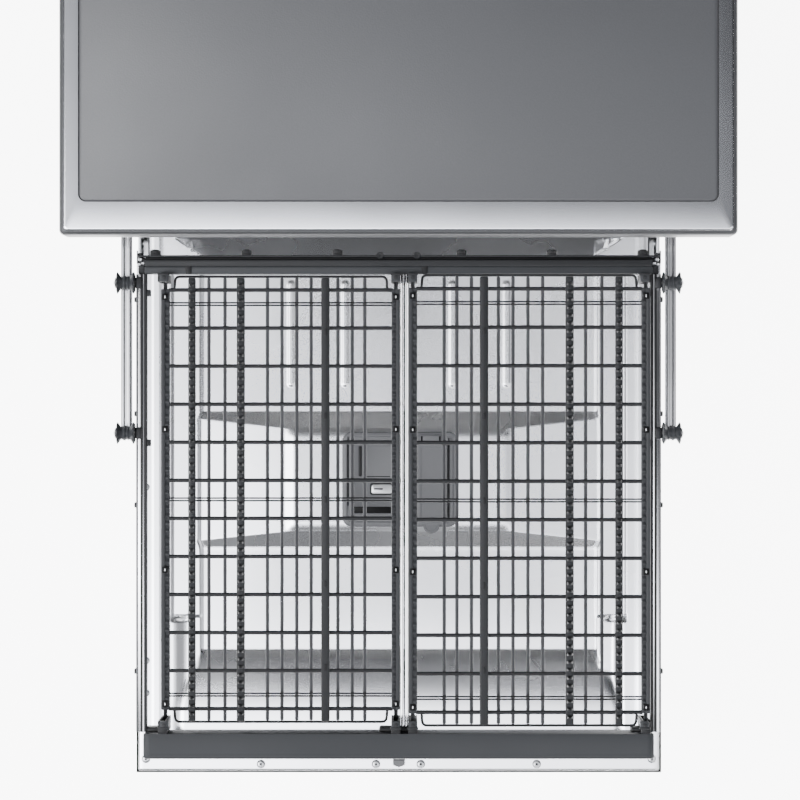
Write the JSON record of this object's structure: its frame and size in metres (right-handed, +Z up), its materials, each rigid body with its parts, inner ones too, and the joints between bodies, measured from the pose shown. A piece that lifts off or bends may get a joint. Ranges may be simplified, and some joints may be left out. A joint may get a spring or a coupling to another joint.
{
  "type": "freestanding dishwasher",
  "caption": "Freestanding dishwasher with its door folded down and a split-height wire cutlery rack pulled out over the open door.",
  "frame": {"origin": "on the floor plane, at the centre of the bounding box with the door folded down", "axes": "+Z up, +X to the right, the door opens towards -Y and the rear is at +Y"},
  "size_m": [0.598, 1.1694, 0.85],
  "materials": {
    "worktop_trim": "satin silver trim",
    "worktop_laminate": "textured grey laminate",
    "painted_steel": "powder coat",
    "stainless": "satin",
    "bright_steel": "bright drawn",
    "dark_plastic": "fine grain",
    "grey_plastic": "fine grain",
    "dispenser_plastic": "satin",
    "coated_wire": "nylon coat",
    "seal_rubber": "matt",
    "white_plastic": "satin"
  },
  "bodies": {
    "cabinet": {"worktop_frame": "worktop_trim", "worktop_panel": "worktop_laminate", "side_panels": "painted_steel", "rear_panel": "painted_steel", "base_tray": "dark_plastic", "plinth": "painted_steel", "levelling_feet": "dark_plastic", "tub": "stainless", "tub_seal": "seal_rubber", "sump": "grey_plastic", "filter_plate": "stainless", "water_feed_pipe": "grey_plastic", "pumps": "dark_plastic", "salt_tank": "white_plastic", "water_connections": "grey_plastic", "rail_holders": "dark_plastic", "upper_rack_rails": "stainless", "door_catch": "dark_plastic"},
    "filter_cup": {"filter_cup": "grey_plastic"},
    "salt_cap": {"salt_cap": "white_plastic"},
    "lower_spray_arm": {"lower_spray_arm": "grey_plastic"},
    "door": {"door_outer_panel": "painted_steel", "door_inner_liner": "stainless", "control_fascia": "dark_plastic", "door_hook": "dark_plastic", "hinge_arms": "bright_steel", "dispenser_body": "dispenser_plastic", "liner_screws": "bright_steel"},
    "detergent_lid": {"detergent_lid": "dispenser_plastic"},
    "lid_latch": {"lid_latch": "white_plastic"},
    "rinse_aid_flap": {"rinse_aid_flap": "dispenser_plastic"},
    "power_button": {"power_button": "grey_plastic"},
    "start_button": {"start_button": "grey_plastic"},
    "third_rack": {"rack_side_rails": "grey_plastic", "rear_bar": "grey_plastic", "handle_bar": "grey_plastic", "centre_rods": "bright_steel", "tray_posts": "grey_plastic"},
    "left_tray": {"left_tray_wires": "coated_wire", "left_tray_combs": "grey_plastic"},
    "right_tray": {"right_tray_wires": "coated_wire", "right_tray_combs": "grey_plastic"},
    "left_guide_rail": {"left_guide_rail": "bright_steel"},
    "right_guide_rail": {"right_guide_rail": "bright_steel"},
    "left_rear_roller": {"left_rear_roller": "dark_plastic"},
    "left_front_roller": {"left_front_roller": "dark_plastic"},
    "right_rear_roller": {"right_rear_roller": "dark_plastic"},
    "right_front_roller": {"right_front_roller": "dark_plastic"},
    "upper_rack": {"upper_rack_basket": "coated_wire"},
    "cup_shelf": {"cup_shelf": "coated_wire"},
    "middle_spray_arm": {"middle_spray_arm": "grey_plastic"},
    "left_telescopic_rail": {"left_telescopic_rail": "bright_steel"},
    "right_telescopic_rail": {"right_telescopic_rail": "bright_steel"},
    "lower_rack": {"lower_rack_basket": "coated_wire"},
    "lower_rack_tines": {"lower_rack_tines": "coated_wire"},
    "left_front_wheel": {"left_front_wheel": "grey_plastic"},
    "left_rear_wheel": {"left_rear_wheel": "grey_plastic"},
    "right_front_wheel": {"right_front_wheel": "grey_plastic"},
    "right_rear_wheel": {"right_rear_wheel": "grey_plastic"}
  },
  "joints": [
    {"name": "door_hinge", "type": "hinge", "parent": "cabinet", "child": "door", "pos_m": [0, 0.0187, 0.2056], "axis": [-1, 0, 0], "range_deg": [0, 90]},
    {"name": "third_rack_slide", "type": "slide", "parent": "cabinet", "child": "third_rack", "axis": [0, 1, 0], "range_m": [0, 0.5452]},
    {"name": "left_guide_rail_slide", "type": "slide", "parent": "cabinet", "child": "left_guide_rail", "axis": [0, 1, 0], "range_m": [0, 0.2622]},
    {"name": "right_guide_rail_slide", "type": "slide", "parent": "cabinet", "child": "right_guide_rail", "axis": [0, 1, 0], "range_m": [0, 0.2622]},
    {"name": "left_tray_height", "type": "slide", "parent": "third_rack", "child": "left_tray", "axis": [0, 0, 1], "range_m": [0, 0.025]},
    {"name": "right_tray_height", "type": "slide", "parent": "third_rack", "child": "right_tray", "axis": [0, 0, 1], "range_m": [-0.025, 0]},
    {"name": "lower_rack_slide", "type": "slide", "parent": "cabinet", "child": "lower_rack", "axis": [0, 1, 0], "range_m": [-0.46, 0]},
    {"name": "upper_rack_slide", "type": "slide", "parent": "cabinet", "child": "upper_rack", "axis": [0, 1, 0], "range_m": [-0.44, 0]},
    {"name": "left_telescopic_slide", "type": "slide", "parent": "cabinet", "child": "left_telescopic_rail", "axis": [0, 1, 0], "range_m": [-0.2202, 0]},
    {"name": "right_telescopic_slide", "type": "slide", "parent": "cabinet", "child": "right_telescopic_rail", "axis": [0, 1, 0], "range_m": [-0.2202, 0]},
    {"name": "cup_shelf_fold", "type": "hinge", "parent": "upper_rack", "child": "cup_shelf", "pos_m": [-0.23, 0.285, 0.566], "axis": [0, -1, 0], "range_deg": [0, 80]},
    {"name": "middle_arm_spin", "type": "hinge", "parent": "upper_rack", "child": "middle_spray_arm", "pos_m": [0, 0.285, 0.4535], "axis": [0, 0, 1], "continuous": true},
    {"name": "lower_arm_spin", "type": "hinge", "parent": "cabinet", "child": "lower_spray_arm", "pos_m": [0, 0.285, 0.246], "axis": [0, 0, 1], "continuous": true},
    {"name": "tine_fold", "type": "hinge", "parent": "lower_rack", "child": "lower_rack_tines", "pos_m": [-0.15, 0.285, 0.2795], "axis": [0, 1, 0], "range_deg": [0, 85]},
    {"name": "filter_cup_turn", "type": "hinge", "parent": "cabinet", "child": "filter_cup", "pos_m": [0.04, 0.25, 0.2], "axis": [0, 0, 1], "range_deg": [0, 90]},
    {"name": "salt_cap_turn", "type": "hinge", "parent": "cabinet", "child": "salt_cap", "pos_m": [-0.15, 0.41, 0.21], "axis": [0, 0, 1], "range_deg": [0, 120]},
    {"name": "detergent_lid_slide", "type": "slide", "parent": "door", "child": "detergent_lid", "axis": [0, 1, 0], "range_m": [0, 0.045]},
    {"name": "lid_latch_press", "type": "slide", "parent": "detergent_lid", "child": "lid_latch", "axis": [0, 0, -1], "range_m": [0, 0.0015], "stiffness_N_per_m": 400},
    {"name": "rinse_aid_flap_hinge", "type": "hinge", "parent": "door", "child": "rinse_aid_flap", "pos_m": [0.0365, -0.206, 0.2171], "axis": [-1, 0, 0], "range_deg": [0, 80]},
    {"name": "power_button_press", "type": "slide", "parent": "door", "child": "power_button", "axis": [0, 0, 1], "range_m": [0, 0.0025], "stiffness_N_per_m": 400},
    {"name": "start_button_press", "type": "slide", "parent": "door", "child": "start_button", "axis": [0, 0, 1], "range_m": [0, 0.0025], "stiffness_N_per_m": 400},
    {"name": "left_rear_roller_spin", "type": "hinge", "parent": "third_rack", "child": "left_rear_roller", "pos_m": [-0.2515, -0.0527, 0.7525], "axis": [-1, 0, 0], "range_deg": [0, 2230]},
    {"name": "left_front_roller_spin", "type": "hinge", "parent": "third_rack", "child": "left_front_roller", "pos_m": [-0.2515, -0.1908, 0.7525], "axis": [-1, 0, 0], "range_deg": [0, 2230]},
    {"name": "left_front_wheel_spin", "type": "hinge", "parent": "lower_rack", "child": "left_front_wheel", "pos_m": [-0.2577, 0.11, 0.2387], "axis": [-1, 0, 0], "range_deg": [-1390, 0]},
    {"name": "left_rear_wheel_spin", "type": "hinge", "parent": "lower_rack", "child": "left_rear_wheel", "pos_m": [-0.2577, 0.462, 0.2387], "axis": [-1, 0, 0], "range_deg": [-1390, 0]},
    {"name": "right_rear_roller_spin", "type": "hinge", "parent": "third_rack", "child": "right_rear_roller", "pos_m": [0.2515, -0.0527, 0.7525], "axis": [-1, 0, 0], "range_deg": [0, 2230]},
    {"name": "right_front_roller_spin", "type": "hinge", "parent": "third_rack", "child": "right_front_roller", "pos_m": [0.2515, -0.1908, 0.7525], "axis": [-1, 0, 0], "range_deg": [0, 2230]},
    {"name": "right_front_wheel_spin", "type": "hinge", "parent": "lower_rack", "child": "right_front_wheel", "pos_m": [0.2577, 0.11, 0.2387], "axis": [-1, 0, 0], "range_deg": [-1390, 0]},
    {"name": "right_rear_wheel_spin", "type": "hinge", "parent": "lower_rack", "child": "right_rear_wheel", "pos_m": [0.2577, 0.462, 0.2387], "axis": [-1, 0, 0], "range_deg": [-1390, 0]}
  ],
  "couplings": [
    {"joint": "third_rack_slide", "follows": "door_hinge", "m_per_rad": 0.34696},
    {"joint": "left_guide_rail_slide", "follows": "door_hinge", "m_per_rad": 0.16679},
    {"joint": "right_guide_rail_slide", "follows": "door_hinge", "m_per_rad": 0.16679},
    {"joint": "left_telescopic_slide", "follows": "upper_rack_slide", "ratio": 0.5},
    {"joint": "right_telescopic_slide", "follows": "upper_rack_slide", "ratio": 0.5},
    {"joint": "left_rear_roller_spin", "follows": "door_hinge", "ratio": 24.68},
    {"joint": "left_front_roller_spin", "follows": "door_hinge", "ratio": 24.68},
    {"joint": "left_front_wheel_spin", "follows": "lower_rack_slide", "rad_per_m": 52.632},
    {"joint": "left_rear_wheel_spin", "follows": "lower_rack_slide", "rad_per_m": 52.632},
    {"joint": "right_rear_roller_spin", "follows": "door_hinge", "ratio": 24.68},
    {"joint": "right_front_roller_spin", "follows": "door_hinge", "ratio": 24.68},
    {"joint": "right_front_wheel_spin", "follows": "lower_rack_slide", "rad_per_m": 52.632},
    {"joint": "right_rear_wheel_spin", "follows": "lower_rack_slide", "rad_per_m": 52.632}
  ]
}
